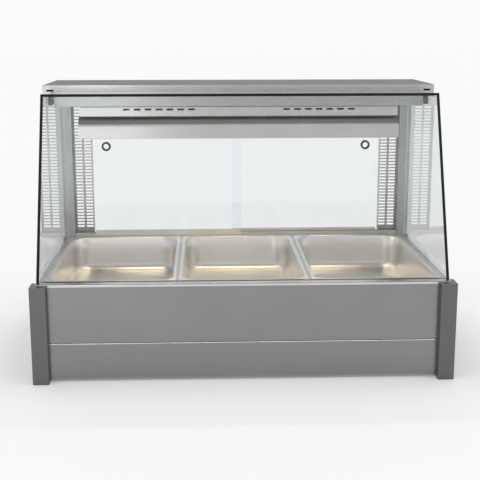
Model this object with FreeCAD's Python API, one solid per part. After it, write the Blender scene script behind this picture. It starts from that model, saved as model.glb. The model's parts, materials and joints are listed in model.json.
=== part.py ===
import FreeCAD, Part
import math
import os

# Countertop hot food display case: a heated well with three food pans, a sloping glass front,
# glass sides, a lamp gantry under a flat canopy, and two sliding glass doors at the rear.
# Millimetres. +Z up, the customer's side faces -Y, origin on the counter under the middle.

os.makedirs("parts", exist_ok=True)
V = FreeCAD.Vector

# ---- sheet and general clearances ----
sheet = 1.2
deck_sheet = 2.0
fit_gap = 0.3
slip_gap = 0.4
bore_gap = 0.05

# ---- food pans (gastronorm 1/1) ----
pan_count = 3
pan_length = 530.0
pan_width = 322.0
pan_depth = 100.0
pan_gap = 8.0
pan_wall = 1.0
pan_flange = 9.0
pan_draft = 8.0
pan_rim_thick = 1.2
pan_rim_radius = 14.0
pan_top_radius = 50.0
pan_foot_radius = 42.0
pan_floor_fillet = 24.0
pan_shoulder_fillet = 1.0
pan_support = 7.0
divider_gap = 1.2

# ---- body plan: ledges around the pans, and how far the posts stand proud ----
front_ledge = 29.0
rear_ledge = 31.0
side_ledge = 19.0
front_setback = 22.0
rear_setback = 18.0
side_setback = 12.0

# ---- body heights ----
deck_top = 248.0
deck_lip = 7.0
panel_foot = 9.5
seam_height = 99.0
seam_gap = 0.5
seam_bend = 4.0
panel_return = 14.0

# ---- posts, glides, uprights ----
post_width = 40.0
post_depth = 48.0
post_wall = 1.5
post_bend = 1.5
glide_plate = 1.0
glide_plug = 12.0
upright_inset = 4.0
upright_wall = 1.5

# ---- glass ----
glass = 5.0
front_glass_foot = 21.0
front_glass_lean = 22.4
front_glass_over = 10.0
side_glass_top_gap = 1.5
trim_face = 7.0
trim_sheet = 1.0

# ---- canopy ----
canopy_top = 710.0
canopy_overhang = 1.0
canopy_depth = 271.4
canopy_tray_height = 9.5
canopy_upstand = 5.0
canopy_cover_height = 15.0
canopy_lid_height = 26.0
tie_slot_width = 18.0
tie_slot_height = 3.5
tie_slot_inset = 10.4
header_drop = 31.0
header_end_inset = 29.0
header_setback = 1.6
header_rear_gap = 1.0
clamp_width = 18.0
clamp_depth = 20.0
clamp_drop = 28.0
clamp_setback = 4.0
clamp_chamfer = 8.0
clamp_chamfer_run = 4.8
clamp_slot_gap = 0.1

# ---- lamp hood ----
hood_end_inset = 62.0
hood_front_drop = 85.0
hood_rear_drop = 102.0
hood_face_height = 30.5
hood_shoulder = 26.0
hood_riser_height = 24.0
hood_depth = 138.0
hood_setback = 5.4
hood_neck_step = 36.0
hood_vent_count = 7
hood_vent_first = 129.0
hood_vent_pitch = 29.35
hood_vent_width = 18.0
hood_vent_height = 5.0
hood_vent_level = 0.75
lamp_count = 3
lamp_end_margin = 12.0
lamp_spacing = 50.0
lamp_radius = 5.0
lamp_end_cap = 12.0
lamp_holder_width = 14.0
lamp_cap_wall = 1.5
lamp_drop = 60.0
lamp_behind_middle = 6.0
holder_half = 9.0
holder_roof_gap = 1.5
reflector_radius = 42.0
reflector_edge_rise = 4.0
hanger_width = 20.0
hanger_depth = 10.0
hanger_spread = 0.7

# ---- doors and tracks ----
sill_width = 25.0
sill_base = 1.5
rail_rib_height = 8.5
rail_rib = 2.4
track_pitch = 12.0
first_track = 6.0
head_height = 24.0
head_roof = 4.0
head_groove_gap = 1.0
door_glass = 4.0
door_rail_width = 8.0
door_rail_height = 16.4
door_rail_seat = 4.0
door_overlap = 26.0
door_end_gap = 4.0
door_lift_gap = 8.0
ring_outer = 13.5
ring_bore = 8.0
ring_flange = 1.8
ring_hole_radius = 11.0
ring_from_edge = 37.0
ring_rise = 269.0
ring_edge_round = 0.6

# ---- slotted panels beside the doors ----
vent_width = 57.0
vent_slot_height = 5.6
vent_slot_pitch = 9.25
vent_slot_first = 28.0
vent_slot_top_margin = 8.0
vent_edge_margin = 5.0
vent_column_web = 6.5
vent_flange_outer = 15.0
vent_setback = 3.8
vent_flange_lift = 1.0

# ---- heated well and electrics ----
tank_floor_gap = 27.0
tank_flange = 10.0
tank_side_gap = 2.0
insulation_thick = 22.0
element_radius = 4.25
element_loop_radius = 50.0
element_front_gap = 90.0
element_tail = 14.0
element_nut_radius = 9.0
element_nut_length = 5.0
element_height = 11.0
base_plate_height = 12.0
control_height = 54.0
thermostat_inset = 150.0
heat_switch_inset = 218.0
lamp_switch_inset = 266.0
pilot_inset = 304.0
pilot_radius = 5.0
pilot_barrel = 22.0
pilot_bezel = 1.6
pilot_bezel_width = 2.0
pilot_lens_rise = 1.0
terminal_inset = 100.0
terminal_setback = 90.0
terminal_ways = 5
terminal_pitch = 10.0
terminal_depth = 22.0
terminal_height = 18.0
terminal_end = 1.0
gland_inset = 50.0
gland_height = 42.0
gland_bore = 4.5
gland_sleeve = 8.0
gland_hex_radius = 11.0
gland_hex_length = 5.0
gland_nut_length = 4.5
gland_dome = 9.0
gland_dome_wall = 1.0
gland_dome_fillet = 3.0
shaft_radius = 3.0
knob_radius = 18.0
knob_length = 14.0
knob_bore_depth = 9.0
knob_standoff = 2.2
knob_skirt = 3.5
knob_skirt_width = 4.0
knob_flutes = 12
knob_flute_radius = 2.6
knob_flute_sink = 0.6
knob_edge_fillet = 1.5
knob_pointer = 1.6
thermostat_box = 34.0
bushing_reach = 0.8
bushing_wall = 2.5
bushing_clearance = 0.5
thermostat_depth = 26.0
thermostat_bore_depth = 16.0
rocker_angle = 11.0
rocker_half_height = 12.4
rocker_half_width = 8.6
rocker_crown = 4.8
rocker_dish = 3.4
rocker_back = 1.8
rocker_pin_radius = 1.2
rocker_pin_reach = 1.6
rocker_pin_depth = 1.2
switch_gap = 1.0
switch_wall = 2.6
switch_bezel = 2.0
switch_depth = 24.0
switch_pocket = 7.0
switch_rim = 1.6
terminal_tab_spread = 6.0
terminal_tab_width = 4.8
terminal_tab_length = 8.0
terminal_tab_thick = 0.8
screw_head_radius = 3.5
screw_head_height = 2.0
screw_shank_radius = 2.0
screw_length = 8.0
screw_columns = 4
screw_side_inset = 16.0
screw_foot_inset = 18.0
screw_top_inset = 26.0

# ---- planes worked out from the sizes above ----
pan_pitch = pan_width + pan_gap
pans_half = (pan_count * pan_width + (pan_count - 1) * pan_gap) / 2
body_half = pans_half + side_ledge
post_half = body_half + side_setback
post_inner = post_half - post_width
canopy_half = post_half + canopy_overhang
case_depth = front_setback + front_ledge + pan_length + rear_ledge + rear_setback
y_front = -case_depth / 2
y_rear = case_depth / 2
y_panel = y_front + front_setback
y_back = y_rear - rear_setback
pan_front = y_panel + front_ledge
pan_rear = pan_front + pan_length
post_back_face = y_front + post_depth
rear_post_face = y_rear - post_depth
post_top = deck_top - deck_sheet
deck_opening_half = pans_half - pan_support
opening_front = pan_front + pan_support
opening_rear = pan_rear - pan_support
canopy_foot = canopy_top - canopy_lid_height
canopy_front = y_back - canopy_depth
header_foot = canopy_foot - header_drop
header_half = canopy_half - header_end_inset
upright_outer = post_half - upright_inset
upright_inner = post_inner
door_opening_half = upright_inner - vent_width
sill_front = y_back - sill_width
door_tracks = [sill_front + first_track, sill_front + first_track + track_pitch]
rib_top = deck_top + sill_base + rail_rib_height
head_foot = canopy_foot - head_height
glass_foot_y = y_panel + front_glass_foot
lean = math.radians(front_glass_lean)
front_glass_rise = canopy_foot + front_glass_over - deck_top
hood_half_length = header_half - hood_end_inset
lamp_pitch = 2 * (hood_half_length - lamp_end_margin) / lamp_count
lamp_length = lamp_pitch - lamp_spacing
ring_height = deck_top + ring_rise
thermostat_x = thermostat_inset - post_inner
heat_switch_x = heat_switch_inset - post_inner
lamp_switch_x = lamp_switch_inset - post_inner
pilot_x = pilot_inset - post_inner
terminal_x = post_inner - terminal_inset
gland_x = post_inner - gland_inset
pan_centres = [(i - (pan_count - 1) / 2) * pan_pitch for i in range(pan_count)]
divider_centres = [(a + b) / 2 for a, b in zip(pan_centres, pan_centres[1:])]
sides = {"left": -1, "right": 1}


# ---- helpers ----
def box(x0, x1, y0, y1, z0, z1):
    return Part.makeBox(x1 - x0, y1 - y0, z1 - z0, V(x0, y0, z0))


def rod(centre, direction, radius, length):
    return Part.makeCylinder(radius, length, V(*centre), V(*direction))


def prism_x(outline, x0, x1):
    """Straight-sided outline of (y, z) points, extruded from x0 to x1."""
    points = [V(x0, y, z) for y, z in outline]
    face = Part.Face(Part.makePolygon(points + points[:1]))
    return face.extrude(V(x1 - x0, 0, 0))


def rounded_wire(half_x, y0, y1, radius, centre_x, z):
    """Rectangle with round corners, lying flat at height z."""
    x0 = centre_x - half_x
    x1 = centre_x + half_x
    slab = box(x0, x1, y0, y1, z, z + 1)
    uprights = [e for e in slab.Edges if abs(e.Vertexes[0].Z - e.Vertexes[1].Z) > 0.5]
    slab = slab.makeFillet(radius, uprights)
    return [f for f in slab.Faces if f.CenterOfMass.z < z + 0.01][0].OuterWire


def edges_where(shape, test):
    return [e for e in shape.Edges if test(e.BoundBox)]


def flip(shape):
    """The same piece on the other side of the middle plane."""
    return shape.mirror(V(0, 0, 0), V(1, 0, 0))


def on_side(shape, side):
    return flip(shape) if side < 0 else shape


def save(name, shape):
    solids = shape.Solids
    if not shape.isValid() or not solids:
        raise RuntimeError(name + " is not a sound solid")
    result = solids[0] if len(solids) == 1 else Part.makeCompound(solids)
    result.exportStep("parts/" + name + ".step")


# ---- posts, glides and outer panels ----
def post(side, y0):
    """Folded square post, closed at the top and open below for its glide."""
    outer = box(post_inner, post_half, y0, y0 + post_depth, glide_plate, post_top)
    corners = edges_where(outer, lambda b: b.ZLength > post_top / 2)
    outer = outer.makeFillet(post_bend, corners)
    inner = box(post_inner + post_wall, post_half - post_wall, y0 + post_wall,
                y0 + post_depth - post_wall, 0, post_top - post_wall)
    return on_side(outer.cut(inner), side)


def glide(side, y0):
    """Plastic glide: a foot plate under the post and a plug inside it."""
    plate = box(post_inner, post_half, y0, y0 + post_depth, 0, glide_plate)
    plate = plate.makeFillet(post_bend, edges_where(plate, lambda b: b.ZLength > glide_plate / 2))
    clear = post_wall + fit_gap
    plug = box(post_inner + clear, post_half - clear, y0 + clear, y0 + post_depth - clear,
               0, glide_plug)
    return on_side(plate.fuse(plug).removeSplitter(), side)


def front_cover(z0, z1, bend):
    """Front sheet between the posts with flanges folded back along its top and bottom."""
    half = post_inner - fit_gap
    outer = box(-half, half, y_panel, y_panel + panel_return, z0, z1)
    if bend:
        nose = edges_where(outer, lambda b: b.XLength > half and b.ZMin > z1 - 0.1
                           and b.YMax < y_panel + 0.1)
        outer = outer.makeFillet(bend, nose)
    inner = box(-half - 1, half + 1, y_panel + sheet, y_panel + panel_return + 1,
                z0 + sheet, z1 - sheet)
    return outer.cut(inner)


def side_panel(side):
    """Side sheet between the front and rear posts, flanged inwards along its top and bottom."""
    y0 = post_back_face + fit_gap
    y1 = rear_post_face - fit_gap
    z1 = deck_top - deck_lip - fit_gap
    outer = box(body_half - panel_return, body_half, y0, y1, panel_foot, z1)
    inner = box(body_half - panel_return - 1, body_half - sheet, y0 - 1, y1 + 1,
                panel_foot + sheet, z1 - sheet)
    return on_side(outer.cut(inner), side)


def switch_cut(x):
    half_w = rocker_half_width + switch_gap + switch_wall + fit_gap
    half_h = rocker_half_height + switch_gap + switch_wall + fit_gap
    return box(x - half_w, x + half_w, y_back - panel_return, y_back + 1,
               control_height - half_h, control_height + half_h)


def rear_panel():
    """Rear sheet between the rear posts, cut out for the controls and the cable gland."""
    half = post_inner - fit_gap
    wall = box(-half, half, y_back - sheet, y_back, panel_foot, post_top)
    foot = box(-half, half, y_back - panel_return, y_back, panel_foot, panel_foot + sheet)
    panel = wall.fuse(foot).removeSplitter()
    through = 3 * sheet
    start = y_back - 2 * sheet
    holes = [
        rod((thermostat_x, start, control_height), (0, 1, 0),
            shaft_radius + bushing_wall + bushing_clearance, through),
        rod((pilot_x, start, control_height), (0, 1, 0), pilot_radius + fit_gap, through),
        rod((gland_x, start, gland_height), (0, 1, 0), gland_sleeve + fit_gap, through),
        switch_cut(heat_switch_x),
        switch_cut(lamp_switch_x),
    ]
    for hole in holes:
        panel = panel.cut(hole)
    return panel


def base_plate():
    """Bottom tray that carries the electrics."""
    half = body_half - panel_return - fit_gap
    inner_half = post_inner - fit_gap
    top = base_plate_height + sheet
    middle = box(-half, half, post_back_face + fit_gap, rear_post_face - fit_gap,
                 base_plate_height, top)
    front = box(-inner_half, inner_half, y_panel + panel_return + fit_gap,
                post_back_face + 1, base_plate_height, top)
    rear = box(-inner_half, inner_half, rear_post_face - 1,
               y_back - panel_return - fit_gap, base_plate_height, top)
    return middle.fuse([front, rear]).removeSplitter()


# ---- deck, dividers, pans ----
def deck():
    """Top sheet with a turned-down lip, one opening for the pans and notched rear corners."""
    top = box(-body_half, body_half, y_panel, y_back, post_top, deck_top)
    opening = box(-deck_opening_half, deck_opening_half, opening_front, opening_rear,
                  post_top - 1, deck_top + 1)
    top = top.cut(opening)
    for side in (-1, 1):
        notch = box(post_inner, body_half + 1, rear_post_face - fit_gap, y_back + 1,
                    post_top - 1, deck_top + 1)
        top = top.cut(on_side(notch, side))
    lip_foot = deck_top - deck_lip
    half = post_inner - fit_gap
    front_lip = box(-half, half, y_panel, y_panel + deck_sheet, lip_foot, deck_top)
    lips = [front_lip]
    for side in (-1, 1):
        lip = box(body_half - deck_sheet, body_half, post_back_face + fit_gap,
                  rear_post_face - fit_gap, lip_foot, deck_top)
        lips.append(on_side(lip, side))
    body = top.fuse(lips).removeSplitter()
    nose = edges_where(body, lambda b: b.XLength > half and b.YMax < y_panel + 0.1
                       and b.ZMin > deck_top - 0.1)
    return body.makeFillet(deck_sheet * 0.9, nose)


def divider(centre):
    """Lift-out bar between two pans: ledges for their flanges and a web that fills the gap."""
    ledge_half = pan_gap / 2 + pan_support
    web_half = pan_gap / 2 - divider_gap
    ledge = box(centre - ledge_half, centre + ledge_half, opening_front + fit_gap,
                opening_rear - fit_gap, post_top, deck_top)
    web = box(centre - web_half, centre + web_half, opening_front + fit_gap,
              opening_rear - fit_gap, post_top - deck_lip, deck_top + pan_rim_thick)
    tongue = box(centre - web_half, centre + web_half, pan_front, pan_rear,
                 deck_top, deck_top + pan_rim_thick)
    return ledge.fuse([web, tongue]).removeSplitter()


def basin(centre, inset):
    """Tapered basin solid with round corners and a round floor edge."""
    top_z = deck_top + pan_rim_thick
    foot_z = deck_top - pan_depth + inset
    side = pan_flange + inset
    taper = pan_draft * (top_z - foot_z) / pan_depth
    top = rounded_wire(pan_width / 2 - side, pan_front + side, pan_rear - side,
                       pan_top_radius - inset, centre, top_z)
    foot = rounded_wire(pan_width / 2 - side - taper, pan_front + side + taper,
                        pan_rear - side - taper, pan_foot_radius - inset, centre, foot_z)
    body = Part.makeLoft([foot, top], True, True)
    floor_edges = edges_where(body, lambda b: b.ZMax < foot_z + 0.1)
    return body.makeFillet(pan_floor_fillet - inset, floor_edges)


def pan(centre):
    """Pressed stainless pan: a flat flange around a deep basin with a drawn shoulder."""
    rim_z = deck_top + pan_rim_thick
    rim = rounded_wire(pan_width / 2, pan_front, pan_rear, pan_rim_radius, centre, deck_top)
    flange = Part.Face(rim).extrude(V(0, 0, pan_rim_thick))
    body = flange.fuse(basin(centre, 0)).cut(basin(centre, pan_wall)).removeSplitter()
    mouth_half = pan_width / 2 - pan_flange
    mouth = edges_where(body, lambda b: b.ZMin > rim_z - 0.01
                        and b.XMin > centre - mouth_half and b.XMax < centre + mouth_half)
    return body.makeFillet(pan_shoulder_fillet, mouth)


# ---- heated well ----
def tank():
    """Inner well tank, hung by its flange under the deck."""
    floor = deck_top - pan_depth - tank_floor_gap
    half = deck_opening_half + tank_side_gap
    y0 = opening_front - tank_side_gap
    y1 = opening_rear + tank_side_gap
    outer = box(-half - sheet, half + sheet, y0 - sheet, y1 + sheet, floor - sheet, post_top)
    flange_front = max(y0 - tank_flange, post_back_face + fit_gap)
    flange = box(-half - tank_flange, half + tank_flange, flange_front, y1 + sheet,
                 post_top - sheet, post_top)
    body = outer.fuse(flange).cut(box(-half, half, y0, y1, floor, post_top + 1))
    for centre in pan_centres:
        for leg in (-1, 1):
            hole = rod((centre + leg * element_loop_radius, y1 - 1, floor + element_height),
                       (0, 1, 0), element_radius + bore_gap, sheet + 2)
            body = body.cut(hole)
    return body.removeSplitter()


def insulation():
    """Mineral wool slab under the well tank."""
    top = deck_top - pan_depth - tank_floor_gap - sheet
    half = deck_opening_half
    return box(-half, half, opening_front, opening_rear, top - insulation_thick, top)


def heating_element(centre):
    """Sheathed hairpin element lying under one pan, its tails reaching behind the tank."""
    z = deck_top - pan_depth - tank_floor_gap + element_height
    tank_rear = opening_rear + tank_side_gap + sheet
    y_bend = opening_front + element_front_gap
    y_end = tank_rear + element_tail
    pieces = []
    for leg in (-1, 1):
        x = centre + leg * element_loop_radius
        pieces.append(rod((x, y_bend, z), (0, 1, 0), element_radius, y_end - y_bend))
    profile = Part.Face(Part.Wire(Part.makeCircle(
        element_radius, V(centre + element_loop_radius, y_bend, z), V(0, 1, 0))))
    bend = profile.revolve(V(centre, y_bend, z), V(0, 0, 1), -180)
    return bend.fuse(pieces).removeSplitter()


def element_nuts():
    """Lock nuts that clamp the element tails to the back of the tank."""
    z = deck_top - pan_depth - tank_floor_gap + element_height
    tank_rear = opening_rear + tank_side_gap + sheet
    nuts = []
    for centre in pan_centres:
        for leg in (-1, 1):
            place = (centre + leg * element_loop_radius, tank_rear, z)
            nut = rod(place, (0, 1, 0), element_nut_radius, element_nut_length)
            bore = rod(place, (0, 1, 0), element_radius + bore_gap, element_nut_length)
            nuts.append(nut.cut(bore))
    return Part.makeCompound(nuts)


# ---- controls on the rear panel ----
rocker_axis_y = y_back + switch_bezel - rocker_pin_depth


def rocker_outline(angle):
    """Side view of the rocker about its pin, tipped by the given angle."""
    half = rocker_half_height
    points = [(-rocker_back, -half), (rocker_crown, -half), (rocker_dish, 0),
              (rocker_crown, half), (-rocker_back, half)]
    turn = math.radians(angle)
    return [(y * math.cos(turn) - z * math.sin(turn), y * math.sin(turn) + z * math.cos(turn))
            for y, z in points]


def rocker(x):
    """Rocker at rest in its off position, with its lower half pressed in."""
    outline = [(rocker_axis_y + y, control_height + z)
               for y, z in rocker_outline(-rocker_angle)]
    cap = prism_x(outline, x - rocker_half_width, x + rocker_half_width)
    reach = rocker_half_width + rocker_pin_reach
    pin = rod((x - reach, rocker_axis_y, control_height), (1, 0, 0), rocker_pin_radius,
              2 * reach)
    return cap.fuse(pin).removeSplitter()


def switch_body(x):
    """Snap-in switch housing with a bezel, a pocket for the rocker and its pin holes."""
    half_w = rocker_half_width + switch_gap + switch_wall
    half_h = rocker_half_height + switch_gap + switch_wall
    z = control_height
    body = box(x - half_w, x + half_w, y_back - switch_depth, y_back, z - half_h, z + half_h)
    rim_w = half_w + switch_rim
    rim_h = half_h + switch_rim
    bezel = box(x - rim_w, x + rim_w, y_back, y_back + switch_bezel, z - rim_h, z + rim_h)
    pocket_w = rocker_half_width + switch_gap
    pocket_h = rocker_half_height + switch_gap
    pocket = box(x - pocket_w, x + pocket_w, y_back - switch_pocket,
                 y_back + switch_bezel + 1, z - pocket_h, z + pocket_h)
    reach = rocker_half_width + rocker_pin_reach + fit_gap
    bore = rod((x - reach, rocker_axis_y, z), (1, 0, 0), rocker_pin_radius + bore_gap,
               2 * reach)
    tabs = []
    for offset in (-terminal_tab_spread, terminal_tab_spread):
        centre = x + offset
        tabs.append(box(centre - terminal_tab_width / 2, centre + terminal_tab_width / 2,
                        y_back - switch_depth - terminal_tab_length, y_back - switch_depth,
                        z - terminal_tab_thick / 2, z + terminal_tab_thick / 2))
    return body.fuse(bezel).cut(pocket).cut(bore).fuse(tabs).removeSplitter()


def thermostat():
    """Capillary thermostat housing with the threaded bushing that its spindle turns in."""
    half = thermostat_box / 2
    y_face = y_back - sheet
    body = box(thermostat_x - half, thermostat_x + half, y_face - thermostat_depth, y_face,
               control_height - half, control_height + half)
    bushing = rod((thermostat_x, y_face, control_height), (0, 1, 0),
                  shaft_radius + bushing_wall, sheet + bushing_reach)
    bore = rod((thermostat_x, y_face - thermostat_bore_depth, control_height), (0, 1, 0),
               shaft_radius + bore_gap, 2 * thermostat_bore_depth)
    return body.fuse(bushing).cut(bore).removeSplitter()


def knob_spindle():
    """Steel spindle from inside the thermostat to the knob."""
    start = y_back - sheet - thermostat_bore_depth + 1
    end = y_back + knob_standoff + knob_bore_depth
    return rod((thermostat_x, start, control_height), (0, 1, 0), shaft_radius, end - start)


def knob():
    """Skirted control knob with finger flutes and a raised pointer."""
    y0 = y_back + knob_standoff
    y1 = y0 + knob_length
    grip_radius = knob_radius - knob_skirt_width
    skirt = rod((thermostat_x, y0, control_height), (0, 1, 0), knob_radius, knob_skirt)
    grip = rod((thermostat_x, y0, control_height), (0, 1, 0), grip_radius, knob_length)
    grip = grip.makeFillet(knob_edge_fillet, edges_where(grip, lambda b: b.YMin > y1 - 0.1))
    flute_ring = grip_radius + knob_flute_radius * knob_flute_sink
    for i in range(knob_flutes):
        turn = 2 * math.pi * (i + 0.5) / knob_flutes
        flute = rod((thermostat_x + flute_ring * math.cos(turn), y0 + knob_skirt,
                     control_height + flute_ring * math.sin(turn)),
                    (0, 1, 0), knob_flute_radius, knob_length)
        grip = grip.cut(flute)
    pointer = box(thermostat_x - knob_pointer / 2, thermostat_x + knob_pointer / 2, y1 - 0.5,
                  y1 + knob_pointer / 2, control_height + 2, control_height + grip_radius - 2)
    body = skirt.fuse([grip, pointer])
    socket = rod((thermostat_x, y0 - 1, control_height), (0, 1, 0), shaft_radius,
                 knob_bore_depth + 1)
    return body.cut(socket).removeSplitter()


def pilot_lamp():
    """Neon indicator: lens and bezel outside, barrel inside."""
    centre = (pilot_x, y_back - pilot_barrel, control_height)
    barrel = rod(centre, (0, 1, 0), pilot_radius, pilot_barrel)
    bezel = rod((pilot_x, y_back, control_height), (0, 1, 0),
                pilot_radius + pilot_bezel_width, pilot_bezel)
    lens = Part.makeSphere(pilot_radius, V(pilot_x, y_back + pilot_lens_rise, control_height))
    lens = lens.common(rod((pilot_x, y_back, control_height), (0, 1, 0), pilot_radius,
                           2 * pilot_radius))
    return barrel.fuse([bezel, lens]).removeSplitter()


def cable_gland():
    """Cable inlet: threaded sleeve, lock nut, hexagon and domed clamping nut, bored through."""
    z = gland_height
    inner = y_back - sheet
    hex_front = y_back + gland_hex_length
    dome_front = hex_front + gland_dome
    sleeve = rod((gland_x, inner - 2 * gland_nut_length, z), (0, 1, 0), gland_sleeve,
                 sheet + 2 * gland_nut_length)
    lock_nut = rod((gland_x, inner - gland_nut_length, z), (0, 1, 0), gland_hex_radius,
                   gland_nut_length)
    corners = []
    for i in range(7):
        turn = math.radians(60 * i)
        corners.append(V(gland_x + gland_hex_radius * math.cos(turn), y_back,
                         z + gland_hex_radius * math.sin(turn)))
    hexagon = Part.Face(Part.makePolygon(corners)).extrude(V(0, gland_hex_length, 0))
    dome = rod((gland_x, hex_front, z), (0, 1, 0), gland_sleeve + gland_dome_wall, gland_dome)
    dome = dome.makeFillet(gland_dome_fillet, edges_where(dome, lambda b: b.YMin > dome_front - 0.1))
    bore = rod((gland_x, y_back - case_depth / 4, z), (0, 1, 0), gland_bore, case_depth / 2)
    return sleeve.fuse([lock_nut, hexagon, dome]).cut(bore).removeSplitter()


def terminal_block():
    """Mains terminal block on the base plate."""
    floor = base_plate_height + sheet
    y0 = y_back - terminal_setback
    half = terminal_ways * terminal_pitch / 2 + terminal_end
    body = box(terminal_x - half, terminal_x + half, y0, y0 + terminal_depth, floor,
               floor + terminal_height)
    for i in range(terminal_ways):
        x = terminal_x + (i - (terminal_ways - 1) / 2) * terminal_pitch
        well = rod((x, y0 + terminal_depth / 2, floor + terminal_height / 2), (0, 0, 1),
                   terminal_pitch / 4, terminal_height)
        body = body.cut(well)
    return body


# ---- canopy, header and glass clamps ----
def tie_slot(side, depth, z0, z1):
    """Cutter for the hook slot at one end of the canopy's front."""
    x1 = canopy_half - tie_slot_inset
    slot = box(x1 - tie_slot_width, x1, canopy_front - 1, canopy_front + depth + fit_gap, z0, z1)
    return on_side(slot, side)


def canopy_tray():
    """Lower tray of the canopy with an upstand inside the cover's skirt."""
    wall_top = canopy_foot + canopy_tray_height
    outer = box(-canopy_half, canopy_half, canopy_front, y_back, canopy_foot, wall_top)
    inner = box(-canopy_half + sheet, canopy_half - sheet, canopy_front + sheet,
                y_back - sheet, canopy_foot + sheet, wall_top + 1)
    step = sheet + fit_gap
    stand_outer = box(-canopy_half + step, canopy_half - step, canopy_front + step,
                      y_back - step, canopy_foot + sheet, wall_top + canopy_upstand)
    stand_inner = box(-canopy_half + step + sheet, canopy_half - step - sheet,
                      canopy_front + step + sheet, y_back - step - sheet,
                      canopy_foot, wall_top + canopy_upstand + 1)
    web = box(-canopy_half + sheet / 2, canopy_half - sheet / 2, canopy_front + sheet / 2,
              y_back - sheet / 2, wall_top - sheet, wall_top)
    upstand = stand_outer.cut(stand_inner)
    rim = web.cut(stand_inner)
    body = outer.cut(inner).fuse([upstand, rim]).removeSplitter()
    for side in (-1, 1):
        body = body.cut(tie_slot(side, step + sheet, wall_top, wall_top + canopy_upstand + 1))
    return body


def canopy_cover():
    """Top lid of the canopy, with a hook slot at each end of its front skirt."""
    foot = canopy_top - canopy_cover_height
    outer = box(-canopy_half, canopy_half, canopy_front, y_back, foot, canopy_top)
    inner = box(-canopy_half + sheet, canopy_half - sheet, canopy_front + sheet,
                y_back - sheet, foot - 1, canopy_top - sheet)
    body = outer.cut(inner)
    for side in (-1, 1):
        body = body.cut(tie_slot(side, sheet, foot - 1, foot + tie_slot_height))
    return body


def header_box():
    """Wiring header under the canopy, open at the top where the canopy tray closes it."""
    y0 = canopy_front + header_setback
    y1 = rear_post_face - header_rear_gap
    half = header_half
    outer = box(-half, half, y0, y1, header_foot, canopy_foot)
    inner = box(-half + sheet, half - sheet, y0 + sheet, y1 - sheet, header_foot + sheet,
                canopy_foot + 1)
    return outer.cut(inner)


def glass_clamp(side):
    """Jaw under each front corner of the canopy that grips the side glass."""
    outer_x = canopy_half - tie_slot_inset
    inner_x = outer_x - clamp_width
    y0 = canopy_front + clamp_setback
    top = canopy_foot
    foot = top - clamp_drop
    outline = [(inner_x, foot + clamp_chamfer), (inner_x + clamp_chamfer_run, foot),
               (outer_x, foot), (outer_x, top), (inner_x, top)]
    face = Part.Face(Part.makePolygon([V(x, y0, z) for x, z in outline + outline[:1]]))
    block = face.extrude(V(0, clamp_depth, 0))
    outer_glass = body_half - trim_sheet
    slot = box(outer_glass - glass - clamp_slot_gap, outer_glass + clamp_slot_gap, y0 - 1,
               y0 + clamp_depth + 1, foot - 1, top - side_glass_top_gap)
    return on_side(block.cut(slot), side)


# ---- glass ----
def along_lean(distance, offset):
    """Point (y, z) at a distance up the front glass and an offset behind its outer face."""
    return (glass_foot_y + distance * math.sin(lean) + offset * math.cos(lean),
            deck_top + distance * math.cos(lean) - offset * math.sin(lean))


def leaning_slab(x0, x1, s0, s1, t0, t1):
    """Slab in the plane of the front glass, from s0 to s1 up it and t0 to t1 deep."""
    outline = [along_lean(s, t) for s, t in ((s0, t0), (s1, t0), (s1, t1), (s0, t1))]
    return prism_x(outline, x0, x1)


front_slope = front_glass_rise / math.cos(lean)


def front_glass():
    """Sloping front pane with its foot cut level to stand on the deck."""
    half = body_half - trim_sheet
    pane = leaning_slab(-half, half, -glass, front_slope - trim_sheet, 0, glass)
    start = glass_foot_y - glass
    return pane.cut(box(-half - 1, half + 1, start - 20, start + 40, deck_top - 20, deck_top))


def front_glass_trim():
    """Black edge trim along the sides and top of the front pane."""
    half = body_half
    pieces = []
    for side in (-1, 1):
        face = leaning_slab(half - trim_face, half, -glass, front_slope, -trim_sheet, 0)
        edge = leaning_slab(half - trim_sheet, half, -glass, front_slope, 0, glass)
        pieces.append(on_side(face.fuse(edge), side))
    top_face = leaning_slab(-half, half, front_slope - trim_face, front_slope, -trim_sheet, 0)
    top_edge = leaning_slab(-half, half, front_slope - trim_sheet, front_slope, 0, glass)
    body = pieces[0].fuse([pieces[1], top_face, top_edge])
    below = box(-half - 1, half + 1, glass_foot_y - 40, glass_foot_y + 40, deck_top - 20, deck_top)
    return body.cut(below).removeSplitter()


def side_glass(side):
    """Side pane from the front glass back to the upright, under the canopy."""
    x1 = body_half - trim_sheet
    behind = glass / math.cos(lean) + fit_gap
    top = canopy_foot - side_glass_top_gap
    front_foot = glass_foot_y + behind
    front_top = front_foot + (top - deck_top) * math.tan(lean)
    back = rear_post_face - fit_gap
    outline = [(front_foot, deck_top), (back, deck_top), (back, top), (front_top, top)]
    return on_side(prism_x(outline, x1 - glass, x1), side)


# ---- uprights and lamp hood ----
def upright(side):
    """Tube that stands on the rear post and carries the canopy."""
    outer = box(upright_inner, upright_outer, rear_post_face, y_back, post_top, canopy_foot)
    inner = box(upright_inner + upright_wall, upright_outer - upright_wall,
                rear_post_face + upright_wall, y_back - upright_wall,
                post_top + upright_wall, canopy_foot - upright_wall)
    return on_side(outer.cut(inner), side)


hood_front = canopy_front + hood_setback
hood_foot = header_foot - hood_front_drop
hood_rear_foot = header_foot - hood_rear_drop
hood_rear = hood_front + hood_depth
riser_y = hood_front + hood_shoulder
face_top = hood_foot + hood_face_height
riser_foot = face_top + hood_shoulder
riser_top = riser_foot + hood_riser_height


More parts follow.
